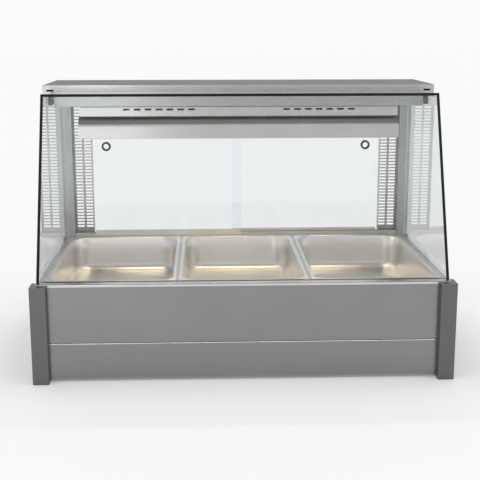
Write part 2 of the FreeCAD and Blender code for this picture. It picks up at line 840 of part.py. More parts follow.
def hood_solid(inset, half, extra):
    """Hood section pushed in by the sheet and run along X, with its foot moved down."""
    front = hood_front + inset
    rear = hood_rear - inset
    back_riser = riser_y + inset
    neck = back_riser + hood_neck_step
    top = header_foot - inset
    ceiling = riser_top - inset
    radius = hood_shoulder
    centre_y = back_riser
    middle = (centre_y - radius * math.cos(math.radians(45)),
              face_top + radius * math.sin(math.radians(45)))
    points = [(front, hood_foot - extra), (front, face_top), (back_riser, riser_foot),
              (back_riser, ceiling), (neck, ceiling), (neck, top), (rear, top),
              (rear, hood_rear_foot - extra)]
    vectors = [V(-half, y, z) for y, z in points]
    arc = Part.Arc(vectors[1], V(-half, middle[0], middle[1]), vectors[2]).toShape()
    edges = [Part.makeLine(vectors[0], vectors[1]), arc]
    for a, b in zip(vectors[2:], vectors[3:] + vectors[:1]):
        edges.append(Part.makeLine(a, b))
    return Part.Face(Part.Wire(edges)).extrude(V(2 * half, 0, 0))


def lamp_hood():
    """Folded hood over the lamps, open below, with a rounded shoulder and a vented riser."""
    shell = hood_solid(0, hood_half_length, 0)
    shell = shell.cut(hood_solid(sheet, hood_half_length - sheet, 20))
    z = riser_foot + hood_riser_height * hood_vent_level
    vents = []
    for side in (-1, 1):
        for i in range(hood_vent_count):
            x = side * (hood_vent_first + i * hood_vent_pitch)
            vents.append(box(x - hood_vent_width / 2, x + hood_vent_width / 2, riser_y - 1,
                             riser_y + sheet + 1, z - hood_vent_height / 2,
                             z + hood_vent_height / 2))
    return shell.cut(Part.makeCompound(vents)).removeSplitter()


lamp_y = hood_front + hood_depth / 2 + lamp_behind_middle
lamp_z = header_foot - lamp_drop
lamp_centres = [(i - (lamp_count - 1) / 2) * lamp_pitch for i in range(lamp_count)]
lamp_seat = lamp_length / 2 + lamp_holder_width / 2


def reflector():
    """Bright trough above the lamps, hung from the roof of the hood."""
    half = hood_half_length - sheet - fit_gap
    top_z = lamp_z + reflector_radius + sheet
    outer = rod((-half, lamp_y, lamp_z), (1, 0, 0), reflector_radius + sheet, 2 * half)
    inner = rod((-half - 1, lamp_y, lamp_z), (1, 0, 0), reflector_radius, 2 * half + 2)
    reach = 2 * reflector_radius
    keep = box(-half, half, lamp_y - reach, lamp_y + reach, lamp_z + reflector_edge_rise, top_z)
    trough = outer.cut(inner).common(keep)
    hangers = []
    for place in (-hanger_spread, 0, hanger_spread):
        x = half * place
        hangers.append(box(x - hanger_width / 2, x + hanger_width / 2, lamp_y - hanger_depth / 2,
                           lamp_y + hanger_depth / 2, top_z - sheet, header_foot - sheet))
    return trough.fuse(hangers).removeSplitter()


def quartz_lamp(centre):
    """Quartz tube with a ceramic cap at each end."""
    tube = rod((centre - lamp_length / 2, lamp_y, lamp_z), (1, 0, 0), lamp_radius, lamp_length)
    caps = []
    for end in (-1, 1):
        start = centre + end * lamp_length / 2 - (lamp_end_cap if end > 0 else 0)
        caps.append(rod((start, lamp_y, lamp_z), (1, 0, 0), lamp_radius + lamp_cap_wall,
                        lamp_end_cap))
    return tube.fuse(caps).removeSplitter()


def lamp_holders():
    """Ceramic end holders, fixed to the trough, one pair for each lamp."""
    blocks = []
    roof = lamp_z + reflector_radius - holder_roof_gap
    for centre in lamp_centres:
        for end in (-1, 1):
            x0 = centre + end * lamp_seat - lamp_holder_width / 2
            blocks.append(box(x0, x0 + lamp_holder_width, lamp_y - holder_half,
                              lamp_y + holder_half, lamp_z - holder_half, roof))
    return Part.makeCompound(blocks)


# ---- sliding doors, tracks and slotted panels ----
def sill_track():
    """Bottom track on the deck with one rib for each door."""
    half = upright_inner - fit_gap
    body = box(-half, half, sill_front, y_back, deck_top, deck_top + sill_base)
    for y in door_tracks:
        rib = box(-half, half, y - rail_rib / 2, y + rail_rib / 2, deck_top, rib_top)
        body = body.fuse(rib)
    return body.removeSplitter()


def head_track():
    """Top guide under the canopy with a deep groove for each door."""
    half = upright_inner - fit_gap
    body = box(-half, half, sill_front, y_back, head_foot, canopy_foot)
    groove = door_glass / 2 + head_groove_gap
    for y in door_tracks:
        body = body.cut(box(-half - 1, half + 1, y - groove, y + groove, head_foot - 1,
                            canopy_foot - head_roof))
    return body


def vent_panel(side):
    """Slotted sheet that fills in beside the doors, with a flange along each edge."""
    x0 = door_opening_half
    x1 = upright_inner - fit_gap
    y1 = y_back - vent_setback
    y0 = y1 - sheet
    foot = deck_top + sill_base
    top = head_foot
    clear_foot = rib_top + vent_flange_lift
    wall = box(x0, x1, y0, y1, foot, top)
    jamb = box(x0, x0 + sheet, sill_front, y1, clear_foot, top)
    anchor = box(x1 - sheet, x1, y1 - vent_flange_outer, y1, clear_foot, top)
    body = wall.fuse([jamb, anchor])
    slot_width = (x1 - x0 - 2 * vent_edge_margin - vent_column_web) / 2
    columns = [x0 + vent_edge_margin, x1 - vent_edge_margin - slot_width]
    z = deck_top + vent_slot_first
    slots = []
    while z < top - vent_slot_top_margin:
        for x in columns:
            slots.append(box(x, x + slot_width, y0 - 1, y1 + 1, z - vent_slot_height / 2,
                             z + vent_slot_height / 2))
        z += vent_slot_pitch
    return on_side(body.cut(Part.makeCompound(slots)).removeSplitter(), side)


door_width = door_opening_half - door_end_gap + door_overlap / 2
rail_foot = deck_top + sill_base + slip_gap
glass_seat = rail_foot + door_rail_height - door_rail_seat
ring_x = door_opening_half - door_end_gap - ring_from_edge


def door_glass_pane(side, y):
    """Door pane with a round hole for its finger ring."""
    edge = door_opening_half - door_end_gap
    top = canopy_foot - head_roof - door_lift_gap
    pane = box(edge - door_width, edge, y - door_glass / 2, y + door_glass / 2, glass_seat, top)
    hole = rod((ring_x, y - door_glass, ring_height), (0, 1, 0), ring_hole_radius,
               2 * door_glass)
    return on_side(pane.cut(hole), side)


def door_rail(side, y):
    """Bottom rail: a groove below that rides over the track's rib and a seat for the glass."""
    edge = door_opening_half - door_end_gap
    half = door_rail_width / 2
    body = box(edge - door_width, edge, y - half, y + half, rail_foot,
               rail_foot + door_rail_height)
    groove = rail_rib / 2 + fit_gap
    body = body.cut(box(edge - door_width - 1, edge + 1, y - groove, y + groove,
                        rail_foot - 1, rib_top + fit_gap))
    body = body.cut(box(edge - door_width - 1, edge + 1, y - door_glass / 2,
                        y + door_glass / 2, glass_seat, rail_foot + door_rail_height + 1))
    return on_side(body, side)


def finger_ring(side, y):
    """Flanged grommet in the pane's hole, open right through for a fingertip."""
    half = door_glass / 2
    barrel = rod((ring_x, y - half - ring_flange, ring_height), (0, 1, 0), ring_hole_radius,
                 door_glass + 2 * ring_flange)
    front = rod((ring_x, y - half - ring_flange, ring_height), (0, 1, 0), ring_outer,
                ring_flange)
    rear = rod((ring_x, y + half, ring_height), (0, 1, 0), ring_outer, ring_flange)
    front = front.makeFillet(ring_flange * ring_edge_round, edges_where(
        front, lambda b: b.YMax < y - half - ring_flange + 0.01))
    rear = rear.makeFillet(ring_flange * ring_edge_round, edges_where(
        rear, lambda b: b.YMin > y + half + ring_flange - 0.01))
    bore = rod((ring_x, y - 20, ring_height), (0, 1, 0), ring_bore, 40)
    return on_side(barrel.fuse([front, rear]).cut(bore).removeSplitter(), side)


# ---- fasteners ----
def screw(centre, direction):
    """Pan-head screw with its head outside the sheet and its shank through it."""
    x, y, z = centre
    dx, dy, dz = direction
    head = rod(centre, direction, screw_head_radius, screw_head_height)
    shank = rod((x - dx * screw_length, y - dy * screw_length, z - dz * screw_length),
                direction, screw_shank_radius, screw_length)
    return head.fuse(shank).removeSplitter()


def panel_screws():
    """Evenly spaced screws through the rear panel, in a row near its foot and one near its top."""
    reach = post_inner - screw_side_inset
    points = []
    for i in range(screw_columns):
        x = -reach + 2 * reach * i / (screw_columns - 1)
        for z in (panel_foot + screw_foot_inset, post_top - screw_top_inset):
            points.append((x, y_back, z))
    return points


# ---- build every piece ----
def build_body():
    for end, y0 in (("front", y_front), ("rear", rear_post_face)):
        for name, side in sides.items():
            save(end + "_post_" + name, post(side, y0))
    glides = [glide(side, y0) for side in (-1, 1) for y0 in (y_front, rear_post_face)]
    save("post_glides", Part.makeCompound(glides))
    top_panel_foot = seam_height + seam_gap
    save("front_panel", front_cover(top_panel_foot, deck_top - deck_lip - fit_gap, 0))
    save("front_skirt", front_cover(panel_foot, seam_height, seam_bend))
    for name, side in sides.items():
        save(name + "_side_panel", side_panel(side))
    save("base_plate", base_plate())


def build_well():
    save("deck", deck())
    for name, centre in zip(("left", "right"), divider_centres):
        save("pan_divider_" + name, divider(centre))
    for name, centre in zip(("left", "centre", "right"), pan_centres):
        save("food_pan_" + name, pan(centre))
        save("heating_element_" + name, heating_element(centre))
    save("element_nuts", element_nuts())
    save("well_tank", tank())
    save("well_insulation", insulation())


def build_controls():
    rear = rear_panel()
    screws = []
    for point in panel_screws():
        x, y, z = point
        screws.append(screw(point, (0, 1, 0)))
        rear = rear.cut(rod((x, y - 2 * sheet, z), (0, 1, 0), screw_shank_radius, 4 * sheet))
    save("rear_panel", rear)
    save("panel_screws", Part.makeCompound(screws))
    save("heat_switch", switch_body(heat_switch_x))
    save("heat_switch_rocker", rocker(heat_switch_x))
    save("lamp_switch", switch_body(lamp_switch_x))
    save("lamp_switch_rocker", rocker(lamp_switch_x))
    save("thermostat", thermostat())
    save("thermostat_spindle", knob_spindle())
    save("thermostat_knob", knob())
    save("pilot_lamp", pilot_lamp())
    save("cable_gland", cable_gland())
    save("terminal_block", terminal_block())


def build_glasshouse():
    for name, side in sides.items():
        save(name + "_upright", upright(side))
        save(name + "_side_glass", side_glass(side))
        save(name + "_vent_panel", vent_panel(side))
    save("glass_clamps", Part.makeCompound([glass_clamp(-1), glass_clamp(1)]))
    save("front_glass", front_glass())
    save("front_glass_trim", front_glass_trim())
    save("canopy_tray", canopy_tray())
    save("canopy_cover", canopy_cover())
    save("header_box", header_box())


def build_lamps():
    save("lamp_hood", lamp_hood())
    save("lamp_reflector", reflector())
    for name, centre in zip(("left", "centre", "right"), lamp_centres):
        save("quartz_lamp_" + name, quartz_lamp(centre))
    save("lamp_holders", lamp_holders())


def build_doors():
    save("door_sill_track", sill_track())
    save("door_head_track", head_track())
    for (name, side), y in zip(sides.items(), door_tracks):
        save(name + "_door_glass", door_glass_pane(side, y))
        save(name + "_door_rail", door_rail(side, y))
        save(name + "_door_ring", finger_ring(side, y))


build_body()
build_well()
build_controls()
build_glasshouse()
build_lamps()
build_doors()
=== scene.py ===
"""Looks for a countertop hot food display case: steel, glass, pans, lamps, doors and controls."""

import json
import math

import bmesh
import bpy
from bpy.props import FloatProperty, FloatVectorProperty, IntProperty, PointerProperty
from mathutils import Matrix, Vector


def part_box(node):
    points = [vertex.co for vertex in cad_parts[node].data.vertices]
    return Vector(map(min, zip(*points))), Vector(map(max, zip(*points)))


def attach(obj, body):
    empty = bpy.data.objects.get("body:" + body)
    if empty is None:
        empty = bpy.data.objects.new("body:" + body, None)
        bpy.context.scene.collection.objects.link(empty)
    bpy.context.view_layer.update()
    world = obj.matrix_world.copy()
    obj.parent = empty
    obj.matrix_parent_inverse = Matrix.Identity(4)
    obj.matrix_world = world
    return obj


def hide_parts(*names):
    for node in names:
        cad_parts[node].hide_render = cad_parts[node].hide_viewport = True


bl_info = {
    "name": "Hot Food Display Case",
    "version": (1, 0, 0),
    "blender": (4, 5, 0),
    "location": "View3D > Sidebar > Display Case",
    "description": "Finishes, pans, lamps, glass and stage for a countertop hot food display case",
    "category": "Add Mesh",
}

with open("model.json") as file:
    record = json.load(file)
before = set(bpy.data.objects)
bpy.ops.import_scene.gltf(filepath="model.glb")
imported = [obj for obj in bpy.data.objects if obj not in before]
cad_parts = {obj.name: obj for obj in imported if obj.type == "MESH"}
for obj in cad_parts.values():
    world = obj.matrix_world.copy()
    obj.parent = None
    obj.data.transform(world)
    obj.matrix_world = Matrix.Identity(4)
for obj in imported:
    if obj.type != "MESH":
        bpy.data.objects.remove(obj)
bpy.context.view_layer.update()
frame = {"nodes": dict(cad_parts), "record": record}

ENDS = ("left", "centre", "right")
SIDES = ("left", "right")
NODES = frame["nodes"]
BODY_OF = {
    node: body
    for body, members in frame["record"]["behaviour"]["bodies"].items()
    for node in members
}
FLOAT = "NodeSocketFloat"
COLOUR = "NodeSocketColor"
VECTOR = "NodeSocketVector"

# how much finer the brushing is along X, Y and Z, per metre
ALONG_X = (10.0, 900.0, 900.0)
ALONG_Y = (900.0, 10.0, 900.0)
ALONG_Z = (900.0, 900.0, 10.0)
EVERY_WAY = (60.0, 60.0, 60.0)
SCRATCH_DEPTH = 0.00012
TEXTURE_DEPTH = 0.0001
WHITE = (1.0, 1.0, 1.0)


# ---- sizes and colours that a user would change ----
def colour(name, description, value):
    return FloatVectorProperty(
        name=name, description=description, default=value, size=3, min=0.0, max=1.0,
        subtype="COLOR",
    )


def length(name, description, metres):
    return FloatProperty(
        name=name, description=description, default=metres, min=0.0, subtype="DISTANCE",
        unit="LENGTH", precision=5,
    )


def amount(name, description, value, highest=1.0):
    return FloatProperty(
        name=name, description=description, default=value, min=0.0, max=highest,
        subtype="FACTOR",
    )


class CaseSteel(bpy.types.PropertyGroup):
    panel: colour("Panels", "Front, side and rear sheets", (0.265, 0.265, 0.268))
    posts: colour("Posts", "Corner posts", (0.157, 0.153, 0.147))
    deck: colour("Deck", "Top sheet round the pans", (0.62, 0.62, 0.61))
    canopy: colour("Canopy", "Canopy lid and tray", (0.475, 0.475, 0.465))
    header: colour("Header", "Header box, uprights and slotted panels", (0.395, 0.4, 0.402))
    hood: colour("Hood", "Lamp hood", (0.52, 0.515, 0.5))
    pans: colour("Pans", "Pressed food pans", (0.79, 0.785, 0.775))
    satin: amount("Satin", "How rough the brushed sheets are", 0.25)
    grain: amount("Grain", "How strongly the brushing shows", 0.16)


class PanForm(bpy.types.PropertyGroup):
    flange: length("Flange", "Flat rim round the mouth", 0.009)
    shoulder: length("Shoulder", "Bend from rim to wall", 0.004)
    floor_bend: length("Floor bend", "Bend from wall to floor", 0.024)
    draft: length("Draft", "How far the walls lean in over their height", 0.0075)
    depth: length("Depth", "Rim to floor", 0.1)
    sheet: length("Sheet", "Thickness of the pressing", 0.0009)
    rim: length("Rim", "Height of the rolled rim over the deck", 0.0012)
    crown: length("Crown", "Rise of the floor's middle", 0.0012)
    corner: length("Corner", "Corner radius at the mouth", 0.05)
    rim_corner: length("Rim corner", "Corner radius of the rim's edge", 0.014)
    least_corner: length("Least corner", "Corner radius in the floor's middle", 0.004)
    hub: length("Hub", "Half width of the floor's flat middle", 0.004)


class LampLook(bpy.types.PropertyGroup):
    glow: colour("Glow", "Colour of the lamps' light", (1.0, 0.82, 0.6))
    filament: FloatProperty(
        name="Filament", description="How brightly the filament shines", default=30.0, min=0.0
    )
    power: FloatProperty(
        name="Power", description="Light from each lamp", default=0.55, min=0.0, subtype="POWER",
        unit="POWER",
    )
    coil: length("Coil", "Radius of the filament's coil", 0.0014)
    wire: length("Wire", "Radius of the filament's wire", 0.00022)
    turns: IntProperty(name="Turns", description="Turns in one filament", default=70, min=8)
    tube: length("Tube", "Radius of the quartz tube", 0.005)
    bore: length("Bore", "Radius of the bore in the tube", 0.0038)
    cap: length("Cap", "Length of the ceramic cap", 0.012)
    cap_radius: length("Cap radius", "Radius of the ceramic cap", 0.0065)
    cap_edge: length("Cap edge", "Bevel of the cap's edges", 0.0008)
    lit: amount("Lit", "Share of the lamp's length that shines", 0.85)
    drop: length("Drop", "How far the light hangs below the lamp, and its width", 0.012)


class GlassLook(bpy.types.PropertyGroup):
    front: colour("Front", "Front pane", (0.975, 0.985, 0.985))
    side: colour("Sides", "Side panes", (0.94, 0.965, 0.97))
    side_edge: colour("Sides aslant", "Side panes seen along their face", (0.6, 0.645, 0.67))
    door: colour("Doors", "Sliding panes", (0.95, 0.975, 0.985))
    smears: amount("Smears", "How strongly wiped marks show", 0.06)


class ControlMarks(bpy.types.PropertyGroup):
    ticks: IntProperty(name="Ticks", description="Marks round the knob", default=11, min=2)
    ring: length("Ring", "Radius of the marks", 0.0215)
    tick: length("Tick", "Length of a mark", 0.0034)
    width: length("Width", "Width of a mark", 0.0009)
    ink: length("Ink", "Thickness of a mark", 0.0003)
    screw: length("Screw", "Radius of a screw head", 0.0035)
    sweep: FloatProperty(
        name="Sweep", description="Angle that the marks cover", default=math.radians(270),
        subtype="ANGLE", unit="ROTATION",
    )


class StageLook(bpy.types.PropertyGroup):
    floor: colour("Floor", "Floor colour", (0.84, 0.84, 0.842))
    reach: length("Reach", "Half width of the floor", 40.0)
    gap: length("Gap", "How far the floor lies under the case", 0.0003)
    lift: amount("Floor lift", "Glow that keeps the floor pale", 0.12)
    backdrop: colour("Backdrop", "Colour behind the case", (0.963, 0.963, 0.965))
    dome: FloatProperty(name="Dome", description="Light from all round", default=1.0, min=0.0)
    eye: FloatVectorProperty(
        name="Eye", description="Where the camera stands", size=3, subtype="TRANSLATION",
        unit="LENGTH", default=(-0.09618, -2.6013, 0.85668),
    )
    aim: FloatVectorProperty(
        name="Aim", description="Turn of the camera", size=3, subtype="EULER", unit="ROTATION",
        default=(math.radians(77.769), math.radians(0.053), math.radians(-2.122)),
    )
    lens: FloatProperty(name="Lens", description="Focal length in mm", default=73.16, min=10.0)


# ---- shader nodes ----
def put(tree, kind, inputs=None, **settings):
    """Add a node, set it up, and link or set each input by its name or number."""
    made = tree.nodes.new(kind)
    for key, value in settings.items():
        setattr(made, key, value)
    for key, value in (inputs or {}).items():
        socket = made.inputs[key]
        if isinstance(value, bpy.types.NodeSocket):
            tree.links.new(value, socket)
        else:
            socket.default_value = value
    return made


def math_node(tree, operation, a, b=0.0, clamp=False):
    made = put(tree, "ShaderNodeMath", {0: a, 1: b}, operation=operation, use_clamp=clamp)
    return made.outputs[0]


def start_group(name, inputs, outputs):
    """An empty shader group with named sockets; gives the tree and its two end nodes."""
    tree = bpy.data.node_groups.new(name, "ShaderNodeTree")
    for label, kind, value in inputs:
        socket = tree.interface.new_socket(label, in_out="INPUT", socket_type=kind)
        socket.default_value = value
    for label, kind in outputs:
        tree.interface.new_socket(label, in_out="OUTPUT", socket_type=kind)
    return tree, tree.nodes.new("NodeGroupInput"), tree.nodes.new("NodeGroupOutput")


def noise_at(tree, vector, scale, detail=2.0, roughness=0.5):
    made = put(tree, "ShaderNodeTexNoise", {
        "Vector": vector, "Scale": scale, "Detail": detail, "Roughness": roughness,
    })
    return made.outputs["Fac"]


def scale_colour(tree, tint, level):
    """The colour made lighter or darker by a factor that changes over the surface."""
    made = put(tree, "ShaderNodeVectorMath", {0: tint, "Scale": level}, operation="SCALE")
    return made.outputs[0]


def brushed_group():
    """Brushed sheet: fine scratches, longer streaks and faint clouds of handling."""
    name = "brushed sheet"
    if name in bpy.data.node_groups:
        return bpy.data.node_groups[name]
    tree, start, end = start_group(
        name,
        [("Colour", COLOUR, (0.5, 0.5, 0.5, 1.0)), ("Stretch", VECTOR, ALONG_X),
         ("Grain", FLOAT, 0.2), ("Clouds", FLOAT, 0.1), ("Roughness", FLOAT, 0.3)],
        [("Colour", COLOUR), ("Roughness", FLOAT), ("Height", FLOAT)],
    )
    place = put(tree, "ShaderNodeTexCoord").outputs["Object"]
    stretched = put(tree, "ShaderNodeVectorMath", {0: place, 1: start.outputs["Stretch"]},
                    operation="MULTIPLY").outputs[0]
    scratches = noise_at(tree, stretched, scale=1.0, detail=3.0, roughness=0.6)
    streaks = noise_at(tree, stretched, scale=0.16, detail=3.0, roughness=0.6)
    clouds = noise_at(tree, place, scale=7.0, detail=3.0, roughness=0.55)
    grain = math_node(tree, "ADD", math_node(tree, "MULTIPLY", scratches, 0.6),
                      math_node(tree, "MULTIPLY", streaks, 0.4))
    centred = math_node(tree, "SUBTRACT", grain, 0.5)
    cloudy = math_node(tree, "SUBTRACT", clouds, 0.5)
    shade = math_node(tree, "MULTIPLY", centred, start.outputs["Grain"])
    haze = math_node(tree, "MULTIPLY", cloudy, start.outputs["Clouds"])
    level = math_node(tree, "ADD", math_node(tree, "ADD", shade, haze), 1.0)
    tint = scale_colour(tree, start.outputs["Colour"], level)
    rough_change = math_node(tree, "ADD", math_node(tree, "MULTIPLY", shade, 1.4),
                             math_node(tree, "MULTIPLY", haze, 1.6))
    rough = math_node(tree, "MULTIPLY", start.outputs["Roughness"],
                      math_node(tree, "ADD", rough_change, 1.0), clamp=True)
    tree.links.new(tint, end.inputs["Colour"])
    tree.links.new(rough, end.inputs["Roughness"])
    tree.links.new(grain, end.inputs["Height"])
    return tree


def moulded_group():
    """Moulded or cast surface: fine texture with slow changes of tone."""
    name = "moulded surface"
    if name in bpy.data.node_groups:
        return bpy.data.node_groups[name]
    tree, start, end = start_group(
        name,
        [("Colour", COLOUR, (0.5, 0.5, 0.5, 1.0)), ("Texture", FLOAT, 900.0),
         ("Change", FLOAT, 0.1), ("Roughness", FLOAT, 0.4)],
        [("Colour", COLOUR), ("Roughness", FLOAT), ("Height", FLOAT)],
    )
    place = put(tree, "ShaderNodeTexCoord").outputs["Object"]
    fine = noise_at(tree, place, scale=start.outputs["Texture"])
    patches = noise_at(tree, place, scale=22.0, detail=3.0)
    slow = math_node(tree, "SUBTRACT", patches, 0.5)
    change = math_node(tree, "MULTIPLY", slow, start.outputs["Change"])
    level = math_node(tree, "ADD", change, 1.0)
    tint = scale_colour(tree, start.outputs["Colour"], level)
    rough = math_node(tree, "MULTIPLY", start.outputs["Roughness"],
                      math_node(tree, "ADD", math_node(tree, "MULTIPLY", change, 2.0), 1.0),
                      clamp=True)
    tree.links.new(tint, end.inputs["Colour"])
    tree.links.new(rough, end.inputs["Roughness"])
    tree.links.new(fine, end.inputs["Height"])
    return tree


def wiped_group():
    """Wiped glass: long faint smears that dull the shine a little."""
    name = "wiped glass"
    if name in bpy.data.node_groups:
        return bpy.data.node_groups[name]
    tree, start, end = start_group(
        name,
        [("Colour", COLOUR, (1.0, 1.0, 1.0, 1.0)), ("Smears", FLOAT, 0.2)],
        [("Colour", COLOUR), ("Roughness", FLOAT)],
    )
    place = put(tree, "ShaderNodeTexCoord").outputs["Object"]
    turned = put(tree, "ShaderNodeMapping", {
        "Vector": place, "Rotation": (0.0, math.radians(24), 0.0), "Scale": (3.0, 3.0, 16.0),
    }).outputs[0]
    smears = noise_at(tree, turned, scale=2.2, detail=4.0, roughness=0.6)
    sharp = put(tree, "ShaderNodeMapRange", {
        "Value": smears, "From Min": 0.52, "From Max": 0.78, "To Min": 0.0, "To Max": 1.0,
    }).outputs[0]
    dull = math_node(tree, "MULTIPLY", sharp, start.outputs["Smears"])
    level = math_node(tree, "SUBTRACT", 1.0, math_node(tree, "MULTIPLY", dull, 0.05))
    tint = scale_colour(tree, start.outputs["Colour"], level)
    tree.links.new(tint, end.inputs["Colour"])
    tree.links.new(math_node(tree, "MULTIPLY", dull, 0.1), end.inputs["Roughness"])
    return tree


def known(name):
    """The finish of this name if it was made before."""
    return bpy.data.materials.get(name + " finish")


def start_material(name):
    material = bpy.data.materials.new(name + " finish")
    material.use_nodes = True
    tree = material.node_tree
    tree.nodes.clear()
    return material, tree


def place_group(tree, group, inputs):
    made = put(tree, "ShaderNodeGroup", node_tree=group)
    for key, value in inputs.items():
        made.inputs[key].default_value = value
    return made


def finish_surface(tree, shader):
    put(tree, "ShaderNodeOutputMaterial", {"Surface": shader})


def opaque(value):
    return (*value, 1.0)


def brushed_steel(name, tint, stretch, roughness, grain, clouds=0.12):
    """Brushed stainless sheet with its scratches along one direction."""
    if known(name):
        return known(name)
    material, tree = start_material(name)
    sheet = place_group(tree, brushed_group(), {
        "Colour": opaque(tint), "Stretch": stretch, "Grain": grain, "Clouds": clouds,
        "Roughness": roughness,
    })
    bump = put(tree, "ShaderNodeBump", {
        "Height": sheet.outputs["Height"], "Strength": 0.25, "Distance": SCRATCH_DEPTH,
    })
    shader = put(tree, "ShaderNodeBsdfPrincipled", {
        "Base Color": sheet.outputs["Colour"], "Metallic": 1.0,
        "Roughness": sheet.outputs["Roughness"], "Normal": bump.outputs[0],
    })
    finish_surface(tree, shader.outputs[0])
    return material


def moulded(name, tint, roughness, metallic=0.0, texture=900.0, change=0.1, bump=0.2,
            coat=0.0, glow=None, shine=0.5):
    """Plastic, ceramic, paint or fibre with a fine surface texture."""
    if known(name):
        return known(name)
    material, tree = start_material(name)
    surface = place_group(tree, moulded_group(), {
        "Colour": opaque(tint), "Texture": texture, "Change": change, "Roughness": roughness,
    })
    relief = put(tree, "ShaderNodeBump", {
        "Height": surface.outputs["Height"], "Strength": bump, "Distance": TEXTURE_DEPTH,
    })
    inputs = {
        "Base Color": surface.outputs["Colour"], "Roughness": surface.outputs["Roughness"],
        "Metallic": metallic, "Normal": relief.outputs[0], "Coat Weight": coat,
        "Specular IOR Level": shine,
    }
    if glow:
        inputs["Emission Color"] = opaque(glow[0])
        inputs["Emission Strength"] = glow[1]
    shader = put(tree, "ShaderNodeBsdfPrincipled", inputs)
    finish_surface(tree, shader.outputs[0])
    return material


def clear_glass(name, tint, smears, index=1.5, aslant=None):
    """Clear glass that lets soft light through; it may be darker when seen along its face."""
    if known(name):
        return known(name)
    material, tree = start_material(name)
    pane = place_group(tree, wiped_group(), {"Colour": opaque(tint), "Smears": smears})
    if aslant:
        facing = put(tree, "ShaderNodeLayerWeight", {"Blend": 0.5}).outputs["Facing"]
        steep = math_node(tree, "POWER", facing, 3.0)
        mixed_tint = put(tree, "ShaderNodeMix", {0: steep, 6: opaque(tint), 7: opaque(aslant)},
                         data_type="RGBA")
        tree.links.new(mixed_tint.outputs[2], pane.inputs["Colour"])
    glass = put(tree, "ShaderNodeBsdfPrincipled", {
        "Base Color": pane.outputs["Colour"], "Roughness": pane.outputs["Roughness"],
        "Transmission Weight": 1.0, "IOR": index,
    })
    path = put(tree, "ShaderNodeLightPath")
    soft = math_node(tree, "MAXIMUM", path.outputs["Is Shadow Ray"],
                     path.outputs["Is Diffuse Ray"])
    clear = put(tree, "ShaderNodeBsdfTransparent", {"Color": opaque(tint)})
    mixed = put(tree, "ShaderNodeMixShader", {
        0: soft, 1: glass.outputs[0], 2: clear.outputs[0],
    })
    finish_surface(tree, mixed.outputs[0])
    return material


# ---- meshes ----
def dress(name, *materials):
    """Give a CAD node its finish."""
    mesh = NODES[name].data
    mesh.materials.clear()
    for material in materials:
        mesh.materials.append(material)


def new_piece(name, build, material, smooth=True):
    """Make a mesh object at the origin from a function that fills a bmesh."""
    mesh = bpy.data.meshes.new(name)
    form = bmesh.new()
    build(form)
    bmesh.ops.remove_doubles(form, verts=form.verts, dist=1e-6)
    bmesh.ops.recalc_face_normals(form, faces=form.faces)
    for face in form.faces:
        face.smooth = smooth
    form.to_mesh(mesh)
    form.free()
    mesh.materials.append(material)
    piece = bpy.data.objects.new(name, mesh)
    bpy.context.scene.collection.objects.link(piece)
    return piece


def plain_mesh(piece):
    """Turn a piece's modifiers into its own mesh."""
    view = bpy.context.evaluated_depsgraph_get()
    made = bpy.data.meshes.new_from_object(piece.evaluated_get(view), depsgraph=view)
    piece.modifiers.clear()
    if piece.type == "MESH":
        made.name = piece.name
        piece.data = made
    return piece


def smooth_by_angle(piece, degrees=35.0):
    piece.data.set_sharp_from_angle(angle=math.radians(degrees))
    return piece


def declare(piece, body, slot, *stands_for):
    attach(piece, body)
    if stands_for:
        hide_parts(*stands_for)
    return piece


# ---- food pans ----
def round_loop(centre, half, radius, z, arc_steps=12, side_steps=8):
    """Points round a rectangle with round corners, always the same number of them."""
    arcs = []
    for quarter, (sx, sy) in enumerate(((1, 1), (-1, 1), (-1, -1), (1, -1))):
        middle = Vector((centre.x + sx * (half[0] - radius), centre.y + sy * (half[1] - radius)))
        arc = []
        for step in range(arc_steps + 1):
            turn = math.radians(90 * (quarter + step / arc_steps))
            arc.append(middle + radius * Vector((math.cos(turn), math.sin(turn))))
        arcs.append(arc)
    points = []
    for arc, following in zip(arcs, arcs[1:] + arcs[:1]):
        points.extend(arc)
        for step in range(1, side_steps):
            points.append(arc[-1].lerp(following[0], step / side_steps))
    return [(p.x, p.y, z) for p in points]


def pan_section(form):
    """Inset and height of the pan's upper skin, from the rim's edge to the floor's middle."""
    rim = form.rim
    section = [(rim / 4, rim / 6), (0.0, rim / 2), (rim / 4, rim * 11 / 12), (rim * 3 / 4, rim)]
    bend = form.flange - form.shoulder
    section.append((bend * 0.5, rim))
    for step in range(7):
        turn = math.radians(86 * step / 6)
        section.append((bend + form.shoulder * math.sin(turn),
                        rim - form.shoulder * (1 - math.cos(turn))))
    floor = -form.depth
    foot = form.flange + form.draft * (form.depth - form.floor_bend) / form.depth
    section.append(((form.flange + foot) / 2, floor / 2 + form.floor_bend / 2))
    for step in range(10):
        turn = math.radians(90 * step / 9)
        section.append((foot + form.floor_bend * (1 - math.cos(turn)),
                        floor + form.floor_bend * (1 - math.sin(turn))))
    return section, foot + form.floor_bend


def pan_corner(form, inset):
    """Corner radius of the pan at an inset from its rim's edge."""
    if inset < form.flange:
        share = inset / form.flange
        return form.rim_corner + (form.corner - form.rim_corner) * share ** 1.5
    return max(form.corner - (inset - form.flange), form.least_corner)


